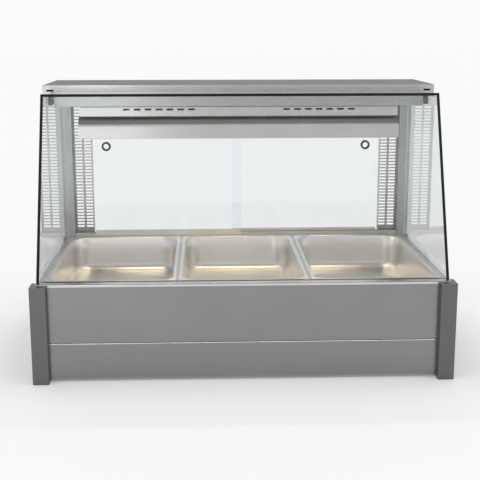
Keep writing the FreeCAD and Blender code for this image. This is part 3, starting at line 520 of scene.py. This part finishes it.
def build_pan(node, form):
    low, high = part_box(node)
    centre = (low + high) / 2
    half = ((high.x - low.x) / 2, (high.y - low.y) / 2)
    deck = high.z - form.rim
    section, floor_edge = pan_section(form)
    upper = list(section)
    for share in (0.3, 0.6, 0.9):
        inset = floor_edge + (half[0] - form.hub - floor_edge) * share
        upper.append((inset, -form.depth + form.crown * math.sin(math.pi / 2 * share)))
    lower = []
    for before, here, after in zip(upper[3:], upper[4:], upper[5:] + upper[-1:]):
        along = Vector((after[0] - before[0], after[1] - before[1])).normalized()
        lower.append((here[0] + along.y * form.sheet, here[1] - along.x * form.sheet))
    lower.insert(0, (form.rim * 11 / 12, form.rim / 4))

    def fill(mesh):
        rings = []
        for inset, z in lower[::-1] + upper:
            corner = pan_corner(form, inset)
            loop = round_loop(centre, (half[0] - inset, half[1] - inset),
                              min(corner, half[0] - inset - form.hub / 8), deck + z)
            rings.append([mesh.verts.new(p) for p in loop])
        for ring, following in zip(rings, rings[1:]):
            for i, vertex in enumerate(ring):
                j = (i + 1) % len(ring)
                mesh.faces.new((vertex, ring[j], following[j], following[i]))
        mesh.faces.new(rings[0])
        mesh.faces.new(rings[-1])

    return fill


# ---- geometry nodes ----
def start_tree(name, inputs):
    """A geometry tree with named inputs; gives the tree, its start and its end."""
    tree = bpy.data.node_groups.new(name, "GeometryNodeTree")
    tree.interface.new_socket("Geometry", in_out="INPUT", socket_type="NodeSocketGeometry")
    for label, kind, value in inputs:
        socket = tree.interface.new_socket(label, in_out="INPUT", socket_type=kind)
        if value is not None:
            socket.default_value = value
    tree.interface.new_socket("Geometry", in_out="OUTPUT", socket_type="NodeSocketGeometry")
    return tree, tree.nodes.new("NodeGroupInput"), tree.nodes.new("NodeGroupOutput")


def finish_tree(tree, geometry, material_socket, end):
    real = put(tree, "GeometryNodeRealizeInstances", {0: geometry})
    coated = put(tree, "GeometryNodeSetMaterial", {
        "Geometry": real.outputs[0], "Material": material_socket,
    })
    tree.links.new(coated.outputs[0], end.inputs[0])


def grow(name, tree, values):
    """Run a geometry tree on an empty mesh and keep the result as a plain piece."""
    piece = bpy.data.objects.new(name, bpy.data.meshes.new(name))
    bpy.context.scene.collection.objects.link(piece)
    modifier = piece.modifiers.new("shape", "NODES")
    modifier.node_group = tree
    for item in tree.interface.items_tree:
        if item.item_type == "SOCKET" and item.in_out == "INPUT" and item.name in values:
            modifier[item.identifier] = values[item.name]
    return plain_mesh(piece)


def coil_tree():
    """A wire coil along X: turns, radius, wire and length are its inputs."""
    name = "filament coil"
    if name in bpy.data.node_groups:
        return bpy.data.node_groups[name]
    tree, start, end = start_tree(name, [
        ("Turns", FLOAT, 40.0), ("Radius", FLOAT, 0.0014), ("Wire", FLOAT, 0.0002),
        ("Length", FLOAT, 0.2), ("Centre", VECTOR, (0.0, 0.0, 0.0)),
        ("Material", "NodeSocketMaterial", None),
    ])
    spiral = put(tree, "GeometryNodeCurveSpiral", {
        "Resolution": 12, "Rotations": start.outputs["Turns"],
        "Start Radius": start.outputs["Radius"], "End Radius": start.outputs["Radius"],
        "Height": start.outputs["Length"],
    })
    ring = put(tree, "GeometryNodeCurvePrimitiveCircle", {
        "Resolution": 6, "Radius": start.outputs["Wire"],
    })
    wire = put(tree, "GeometryNodeCurveToMesh", {
        "Curve": spiral.outputs[0], "Profile Curve": ring.outputs[0], "Fill Caps": True,
    })
    half = math_node(tree, "MULTIPLY", start.outputs["Length"], -0.5)
    lowered = put(tree, "ShaderNodeCombineXYZ", {2: half})
    middle = put(tree, "GeometryNodeTransform", {
        "Geometry": wire.outputs[0], "Translation": lowered.outputs[0],
    })
    turned = put(tree, "GeometryNodeTransform", {
        "Geometry": middle.outputs[0], "Rotation": (0.0, math.radians(90), 0.0),
        "Translation": start.outputs["Centre"],
    })
    finish_tree(tree, turned.outputs[0], start.outputs["Material"], end)
    return tree


def dial_tree():
    """Short marks round a centre, standing on a wall that faces +Y."""
    name = "dial marks"
    if name in bpy.data.node_groups:
        return bpy.data.node_groups[name]
    tree, start, end = start_tree(name, [
        ("Count", "NodeSocketInt", 11), ("Radius", FLOAT, 0.02), ("Sweep", FLOAT, 4.7),
        ("Size", VECTOR, (0.001, 0.0002, 0.003)), ("Centre", VECTOR, (0.0, 0.0, 0.0)),
        ("Material", "NodeSocketMaterial", None),
    ])
    line = put(tree, "GeometryNodeMeshLine", {"Count": start.outputs["Count"]})
    index = put(tree, "GeometryNodeInputIndex").outputs[0]
    gaps = math_node(tree, "SUBTRACT", start.outputs["Count"], 1.0)
    share = math_node(tree, "SUBTRACT", math_node(tree, "DIVIDE", index, gaps), 0.5)
    turn = math_node(tree, "MULTIPLY", share, start.outputs["Sweep"])
    x = math_node(tree, "MULTIPLY", math_node(tree, "SINE", turn), start.outputs["Radius"])
    z = math_node(tree, "MULTIPLY", math_node(tree, "COSINE", turn), start.outputs["Radius"])
    spot = put(tree, "ShaderNodeCombineXYZ", {0: x, 2: z})
    there = put(tree, "ShaderNodeVectorMath", {
        0: spot.outputs[0], 1: start.outputs["Centre"],
    }, operation="ADD")
    placed = put(tree, "GeometryNodeSetPosition", {
        "Geometry": line.outputs[0], "Position": there.outputs[0],
    })
    mark = put(tree, "GeometryNodeMeshCube", {"Size": start.outputs["Size"]})
    lean = put(tree, "ShaderNodeCombineXYZ", {1: turn})
    marks = put(tree, "GeometryNodeInstanceOnPoints", {
        "Points": placed.outputs[0], "Instance": mark.outputs[0], "Rotation": lean.outputs[0],
    })
    finish_tree(tree, marks.outputs[0], start.outputs["Material"], end)
    return tree


def grid_tree():
    """Copies of one part on an upright grid that faces Y."""
    name = "screw rows"
    if name in bpy.data.node_groups:
        return bpy.data.node_groups[name]
    tree, start, end = start_tree(name, [
        ("Part", "NodeSocketObject", None), ("Width", FLOAT, 1.0), ("Height", FLOAT, 0.2),
        ("Columns", "NodeSocketInt", 4), ("Rows", "NodeSocketInt", 2),
        ("Centre", VECTOR, (0.0, 0.0, 0.0)), ("Material", "NodeSocketMaterial", None),
    ])
    grid = put(tree, "GeometryNodeMeshGrid", {
        "Size X": start.outputs["Width"], "Size Y": start.outputs["Height"],
        "Vertices X": start.outputs["Columns"], "Vertices Y": start.outputs["Rows"],
    })
    upright = put(tree, "GeometryNodeTransform", {
        "Geometry": grid.outputs[0], "Rotation": (math.radians(90), 0.0, 0.0),
        "Translation": start.outputs["Centre"],
    })
    part = put(tree, "GeometryNodeObjectInfo", {"Object": start.outputs["Part"]})
    index = put(tree, "GeometryNodeInputIndex").outputs[0]
    lean = put(tree, "ShaderNodeCombineXYZ", {1: math_node(tree, "MULTIPLY", index, 0.7)})
    copies = put(tree, "GeometryNodeInstanceOnPoints", {
        "Points": upright.outputs[0], "Instance": part.outputs["Geometry"],
        "Rotation": lean.outputs[0],
    })
    finish_tree(tree, copies.outputs[0], start.outputs["Material"], end)
    return tree


def turned(points, place, steps):
    """Fill function for a turned shape: points are (radius, distance along its axis)."""
    def fill(mesh):
        rings = []
        for radius, along in points:
            ring = []
            for i in range(steps if radius else 1):
                turn = 2 * math.pi * i / steps
                spot = place(along, radius * math.cos(turn), radius * math.sin(turn))
                ring.append(mesh.verts.new(spot))
            rings.append(ring)
        for ring, following in zip(rings, rings[1:]):
            for i in range(steps):
                j = (i + 1) % steps
                corners = [ring[i % len(ring)], ring[j % len(ring)],
                           following[j % len(following)], following[i % len(following)]]
                mesh.faces.new(list(dict.fromkeys(corners)))
    return fill


def along_x(middle):
    """Places a turned shape with its axis along X through a middle."""
    return lambda along, y, z: middle + Vector((along, y, z))


def along_y(along, x, z):
    """Places a turned shape with its axis along Y through the origin."""
    return x, along, z


def tube_fill(look, middle, half):
    """Open quartz tube along X."""
    points = [(look.bore, -half), (look.tube, -half), (look.tube, half), (look.bore, half),
              (look.bore, -half)]
    return turned(points, along_x(middle), steps=28)


def caps_fill(look, middle, half):
    """Ceramic cap on each end of a lamp."""
    edge, radius = look.cap_edge, look.cap_radius

    def fill(mesh):
        for end in (-1, 1):
            outer = end * half
            inner = end * (half - look.cap)
            turned([
                (0.0, outer), (radius - edge, outer), (radius, outer - end * edge),
                (radius, inner + end * edge), (radius - edge, inner), (0.0, inner),
            ], along_x(middle), steps=28)(mesh)
    return fill


def screw_fill(radius, head, tip):
    """Pan-head screw standing on +Y with a recess in its head."""
    shank = radius * 0.57
    return turned([
        (0.0, tip), (shank * 0.6, tip), (shank, tip + 0.001), (shank, 0.0),
        (radius, 0.0), (radius, head * 0.35), (radius * 0.93, head * 0.68),
        (radius * 0.74, head * 0.88), (radius * 0.5, head * 0.97), (radius * 0.44, head),
        (radius * 0.4, head * 0.55), (0.0, head * 0.3),
    ], along_y, steps=16)


# ---- operators ----
class CaseOperator:
    bl_options = {"REGISTER", "UNDO"}

    def execute(self, context):
        self.make(context.scene)
        return {"FINISHED"}


class CASE_OT_steelwork(CaseOperator, bpy.types.Operator):
    """Brushed stainless on the posts, panels, deck, canopy, header and hood"""
    bl_idname = "case.steelwork"
    bl_label = "Steelwork"

    def make(self, scene):
        look = scene.case_steel
        rough, grain = look.satin, look.grain
        panel = brushed_steel("panel_steel", look.panel, ALONG_X, rough, grain)
        side = brushed_steel("side_panel_steel", look.panel, ALONG_Y, rough, grain)
        post = brushed_steel("post_steel", look.posts, ALONG_Z, rough + 0.06, grain)
        deck = brushed_steel("deck_steel", look.deck, ALONG_X, rough - 0.04, grain)
        canopy = brushed_steel("canopy_steel", look.canopy, ALONG_X, rough, grain)
        upright = brushed_steel("upright_steel", look.header, ALONG_Z, rough, grain)
        header = brushed_steel("header_steel", look.header, ALONG_X, rough, grain)
        hood = brushed_steel("hood_steel", look.hood, ALONG_X, rough - 0.05, grain)
        hidden = brushed_steel("inner_steel", look.hood, ALONG_X, rough + 0.1, grain)
        clamp = brushed_steel("clamp_steel", look.posts, ALONG_Z, rough, grain)
        track = brushed_steel("track_aluminium", (0.62, 0.61, 0.59), ALONG_X, 0.35, grain)
        bright = brushed_steel("reflector_aluminium", (0.88, 0.87, 0.85), ALONG_X, 0.14, 0.06)
        glide = moulded("glide_plastic", (0.02, 0.02, 0.021), 0.55)
        wool = moulded("mineral_wool", (0.6, 0.52, 0.33), 0.95, texture=260.0, change=0.5,
                       bump=1.0)
        for side_name in SIDES:
            dress("front_post_" + side_name, post)
            dress("rear_post_" + side_name, post)
            dress(side_name + "_side_panel", side)
            dress(side_name + "_upright", upright)
            dress(side_name + "_vent_panel", upright)
            dress("pan_divider_" + side_name, deck)
        for node, finish in {
            "front_panel": panel, "front_skirt": panel, "rear_panel": panel, "deck": deck,
            "canopy_tray": canopy, "canopy_cover": canopy, "header_box": header,
            "door_head_track": header, "glass_clamps": clamp, "lamp_hood": hood,
            "well_tank": hidden, "base_plate": hidden, "door_sill_track": track,
            "lamp_reflector": bright, "post_glides": glide, "well_insulation": wool,
        }.items():
            dress(node, finish)


class CASE_OT_food_pans(CaseOperator, bpy.types.Operator):
    """Pressed pans with a rolled rim, round corners and a crowned floor"""
    bl_idname = "case.food_pans"
    bl_label = "Food pans"

    def make(self, scene):
        look = scene.case_steel
        steel = brushed_steel("pan_steel", look.pans, EVERY_WAY, roughness=0.31, grain=0.03,
                              clouds=0.04)
        for end in ENDS:
            node = "food_pan_" + end
            piece = new_piece("pan_" + end + "_pressing", build_pan(node, scene.case_pans), steel)
            smooth_by_angle(piece, 50.0)
            declare(piece, BODY_OF[node], "pan_steel", node)


class CASE_OT_heating(CaseOperator, bpy.types.Operator):
    """Heat-darkened sheath on the elements under the pans"""
    bl_idname = "case.heating"
    bl_label = "Heating elements"

    def make(self, scene):
        sheath = brushed_steel("element_sheath", (0.2, 0.18, 0.165), (40.0, 12.0, 40.0),
                               roughness=0.5, grain=0.5, clouds=0.6)
        for end in ENDS:
            dress("heating_element_" + end, sheath)
        nut = brushed_steel("nut_steel", (0.5, 0.49, 0.47), ALONG_Y, roughness=0.35, grain=0.1)
        dress("element_nuts", nut)


class CASE_OT_panes(CaseOperator, bpy.types.Operator):
    """Toughened glass, its black edge trim and the sliding doors"""
    bl_idname = "case.panes"
    bl_label = "Glass and doors"

    def make(self, scene):
        look = scene.case_glass
        dress("front_glass", clear_glass("front_pane", look.front, look.smears))
        side = clear_glass("side_pane", look.side, look.smears, aslant=look.side_edge)
        door = clear_glass("door_pane", look.door, look.smears)
        rail = brushed_steel("rail_aluminium", (0.8, 0.79, 0.77), ALONG_X, roughness=0.3,
                             grain=0.12)
        ring = moulded("ring_bronze", (0.075, 0.062, 0.048), 0.34, metallic=0.85, change=0.4,
                       texture=500.0)
        for side_name in SIDES:
            dress(side_name + "_side_glass", side)
            dress(side_name + "_door_glass", door)
            dress(side_name + "_door_rail", rail)
            dress(side_name + "_door_ring", ring)
        dress("front_glass_trim", moulded("edge_trim", (0.012, 0.012, 0.014), 0.6, shine=0.25))


class CASE_OT_lamps(CaseOperator, bpy.types.Operator):
    """Quartz heat lamps: clear tube, coiled filament and ceramic caps"""
    bl_idname = "case.lamps"
    bl_label = "Heat lamps"

    def make(self, scene):
        look = scene.case_lamps
        quartz = clear_glass("quartz_tube", (1.0, 0.97, 0.92), 0.1, index=1.46)
        ceramic = moulded("lamp_ceramic", (0.82, 0.79, 0.72), 0.35, texture=600.0, coat=0.25)
        hot = moulded("hot_filament", (1.0, 0.7, 0.4), 0.6, glow=(look.glow, look.filament))
        dress("lamp_holders", ceramic)
        for end in ENDS:
            node = "quartz_lamp_" + end
            low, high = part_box(node)
            middle = (low + high) / 2
            half = (high.x - low.x) / 2
            tube = new_piece(node + "_tube", tube_fill(look, middle, half - look.cap / 2), quartz)
            declare(smooth_by_angle(tube), "case", "quartz", node)
            caps = new_piece(node + "_caps", caps_fill(look, middle, half), ceramic)
            declare(smooth_by_angle(caps), "case", "ceramic")
            coil = grow(node + "_filament", coil_tree(), {
                "Turns": float(look.turns), "Radius": look.coil, "Wire": look.wire,
                "Length": 2 * (half - look.cap), "Centre": middle, "Material": hot,
            })
            declare(coil, "case", "quartz")
            add_lamp_light(look, end, middle, half)


def add_lamp_light(look, end, middle, half):
    """Warm light from one lamp onto the pans."""
    light = bpy.data.lights.new("lamp_light_" + end, "AREA")
    light.shape = "RECTANGLE"
    light.size = 2 * half * look.lit
    light.size_y = look.drop
    light.color = look.glow
    light.energy = look.power
    lamp = bpy.data.objects.new("lamp_light_" + end, light)
    lamp.location = middle - Vector((0.0, 0.0, look.drop))
    bpy.context.scene.collection.objects.link(lamp)


class CASE_OT_controls(CaseOperator, bpy.types.Operator):
    """Knob, dial marks, rocker switches, pilot lamp, gland and screws on the rear panel"""
    bl_idname = "case.controls"
    bl_label = "Controls"

    def make(self, scene):
        marks = scene.case_marks
        black = moulded("control_plastic", (0.022, 0.022, 0.024), 0.45, change=0.3)
        gloss = moulded("rocker_plastic", (0.03, 0.03, 0.033), 0.18, coat=0.4, bump=0.05)
        white = moulded("dial_print", (0.8, 0.8, 0.78), 0.5, bump=0.05)
        amber = moulded("pilot_lens", (0.9, 0.36, 0.05), 0.12, coat=0.6, bump=0.02,
                        glow=((1.0, 0.3, 0.03), 0.6))
        zinc = brushed_steel("screw_steel", (0.6, 0.6, 0.6), (200.0, 200.0, 200.0),
                             roughness=0.3, grain=0.1)
        for node in ("thermostat_knob", "heat_switch", "lamp_switch", "cable_gland",
                     "thermostat"):
            dress(node, black)
        for node in ("heat_switch_rocker", "lamp_switch_rocker"):
            dress(node, gloss)
        dress("thermostat_spindle", zinc)
        dress("terminal_block", moulded("terminal_ceramic", (0.82, 0.8, 0.75), 0.4))
        dress("pilot_lamp", amber)
        self.dial(marks, white)
        self.screws(marks.screw, zinc)

    def dial(self, marks, white):
        low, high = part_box("thermostat_knob")
        middle = (low + high) / 2
        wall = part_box("rear_panel")[1].y
        ticks = grow("dial_marks", dial_tree(), {
            "Count": marks.ticks, "Radius": marks.ring, "Sweep": marks.sweep,
            "Size": (marks.width, marks.ink, marks.tick),
            "Centre": (middle.x, wall + marks.ink / 3, middle.z), "Material": white,
        })
        declare(ticks, "case", "black_plastic")

    def screws(self, radius, zinc):
        low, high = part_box("panel_screws")
        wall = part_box("rear_panel")[1].y
        head = high.y - wall
        part = new_piece("screw_pattern", screw_fill(radius, head, low.y - wall), zinc)
        smooth_by_angle(part)
        rows = grow("panel_screw_heads", grid_tree(), {
            "Part": part, "Width": high.x - low.x - 2 * radius,
            "Height": high.z - low.z - 2 * radius, "Columns": 4, "Rows": 2,
            "Centre": ((low.x + high.x) / 2, wall, (low.z + high.z) / 2), "Material": zinc,
        })
        bpy.data.objects.remove(part)
        declare(rows, "case", "satin_steel", "panel_screws")


class CASE_OT_stage(CaseOperator, bpy.types.Operator):
    """Pale floor, soft light from all round and the camera"""
    bl_idname = "case.stage"
    bl_label = "Stage"

    def make(self, scene):
        look = scene.case_stage

        def fill(mesh):
            corners = ((-1, -1), (1, -1), (1, 1), (-1, 1))
            mesh.faces.new([
                mesh.verts.new((x * look.reach, y * look.reach, -look.gap)) for x, y in corners
            ])

        paint = moulded("floor_paint", look.floor, 0.9, texture=40.0, change=0.0, bump=0.0,
                        glow=(WHITE, look.lift), shine=0.0)
        floor = new_piece("floor", fill, paint, smooth=False)
        self.world(scene, look)
        self.camera(scene, look)
        add_reflection("left_reflection", place=(-0.68, -2.6, 0.35), size=(0.2, 0.7), power=2.2)
        glint = add_reflection("seam_reflection", place=(0.0, -1.6, 1.4), size=(3.0, 0.3),
                               power=36.0)
        front = bpy.data.collections.new("front sheets")
        for node in ("front_skirt", "front_panel"):
            front.objects.link(NODES[node])
        glint.light_linking.receiver_collection = front
        scene.view_settings.view_transform = "Standard"

    def world(self, scene, look):
        """Even light for matt surfaces, the backdrop, and bands that the steel mirrors."""
        world = bpy.data.worlds.new("studio")
        scene.world = world
        world.use_nodes = True
        tree = world.node_tree
        tree.nodes.clear()
        way = put(tree, "ShaderNodeTexCoord").outputs["Generated"]
        parts = put(tree, "ShaderNodeSeparateXYZ", {0: way})
        rise = parts.outputs["Z"]
        behind = self.ramp(tree, rise, span=(0.15, 0.3), levels=(0.12, 1.0))
        front = self.ramp(tree, rise, span=(0.1, 0.6), levels=(0.95, 0.3))
        back_share = self.ramp(tree, parts.outputs["Y"], span=(-0.2, 0.3))
        overhead = self.ramp(tree, rise, span=(0.45, 0.8))
        around = self.blend(tree, back_share, front, behind)
        mirrored = self.blend(tree, overhead, around, 0.28)
        path = put(tree, "ShaderNodeLightPath")
        glossy = path.outputs["Is Glossy Ray"]
        shown = put(tree, "ShaderNodeMix", {
            0: path.outputs["Is Diffuse Ray"], 6: opaque(look.backdrop),
            7: (look.dome, look.dome, look.dome, 1.0),
        }, data_type="RGBA")
        grey = put(tree, "ShaderNodeCombineColor", {0: mirrored, 1: mirrored, 2: mirrored})
        chosen = put(tree, "ShaderNodeMix", {
            0: glossy, 6: shown.outputs[2], 7: grey.outputs[0],
        }, data_type="RGBA")
        lit = put(tree, "ShaderNodeBackground", {"Color": chosen.outputs[2], "Strength": 1.0})
        put(tree, "ShaderNodeOutputWorld", {"Surface": lit.outputs[0]})

    def ramp(self, tree, value, span, levels=(0.0, 1.0)):
        made = put(tree, "ShaderNodeMapRange", {
            "Value": value, "From Min": span[0], "From Max": span[1], "To Min": levels[0],
            "To Max": levels[1],
        }, interpolation_type="SMOOTHSTEP")
        return made.outputs[0]

    def blend(self, tree, share, first, second):
        return put(tree, "ShaderNodeMix", {0: share, 2: first, 3: second}).outputs[0]

    def camera(self, scene, look):
        eye = bpy.data.cameras.new("camera")
        eye.lens = look.lens
        camera = bpy.data.objects.new("camera", eye)
        camera.location = look.eye
        camera.rotation_euler = look.aim
        scene.collection.objects.link(camera)
        scene.camera = camera


def add_reflection(name, place, size, power):
    """Bright card seen only in the steel, aimed at the middle of the case."""
    light = bpy.data.lights.new(name, "AREA")
    light.shape = "RECTANGLE"
    light.size, light.size_y = size
    light.energy = power
    card = bpy.data.objects.new(name, light)
    card.location = place
    aim = Vector((0.0, 0.0, 0.45)) - Vector(place)
    card.rotation_euler = aim.to_track_quat("-Z", "Y").to_euler()
    card.visible_camera = False
    card.visible_diffuse = False
    card.visible_transmission = False
    bpy.context.scene.collection.objects.link(card)
    return card


class CASE_PT_pieces(bpy.types.Panel):
    """Lists the pieces of the display case"""
    bl_idname = "CASE_PT_pieces"
    bl_label = "Display Case"
    bl_space_type = "VIEW_3D"
    bl_region_type = "UI"
    bl_category = "Display Case"

    def draw(self, context):
        for operator in OPERATORS:
            self.layout.operator(operator.bl_idname)


GROUPS = {
    "case_steel": CaseSteel, "case_pans": PanForm, "case_lamps": LampLook,
    "case_glass": GlassLook, "case_marks": ControlMarks, "case_stage": StageLook,
}
OPERATORS = (
    CASE_OT_steelwork, CASE_OT_food_pans, CASE_OT_heating, CASE_OT_panes, CASE_OT_lamps,
    CASE_OT_controls, CASE_OT_stage,
)


def register():
    for group in GROUPS.values():
        bpy.utils.register_class(group)
    for operator in OPERATORS:
        bpy.utils.register_class(operator)
    bpy.utils.register_class(CASE_PT_pieces)
    for name, group in GROUPS.items():
        setattr(bpy.types.Scene, name, PointerProperty(type=group))


def unregister():
    for name in GROUPS:
        delattr(bpy.types.Scene, name)
    bpy.utils.unregister_class(CASE_PT_pieces)
    for made in reversed([*GROUPS.values(), *OPERATORS]):
        bpy.utils.unregister_class(made)


def main():
    register()
    bpy.ops.case.steelwork()
    bpy.ops.case.food_pans()
    bpy.ops.case.heating()
    bpy.ops.case.panes()
    bpy.ops.case.lamps()
    bpy.ops.case.controls()
    bpy.ops.case.stage()


if __name__ == "__main__":
    main()
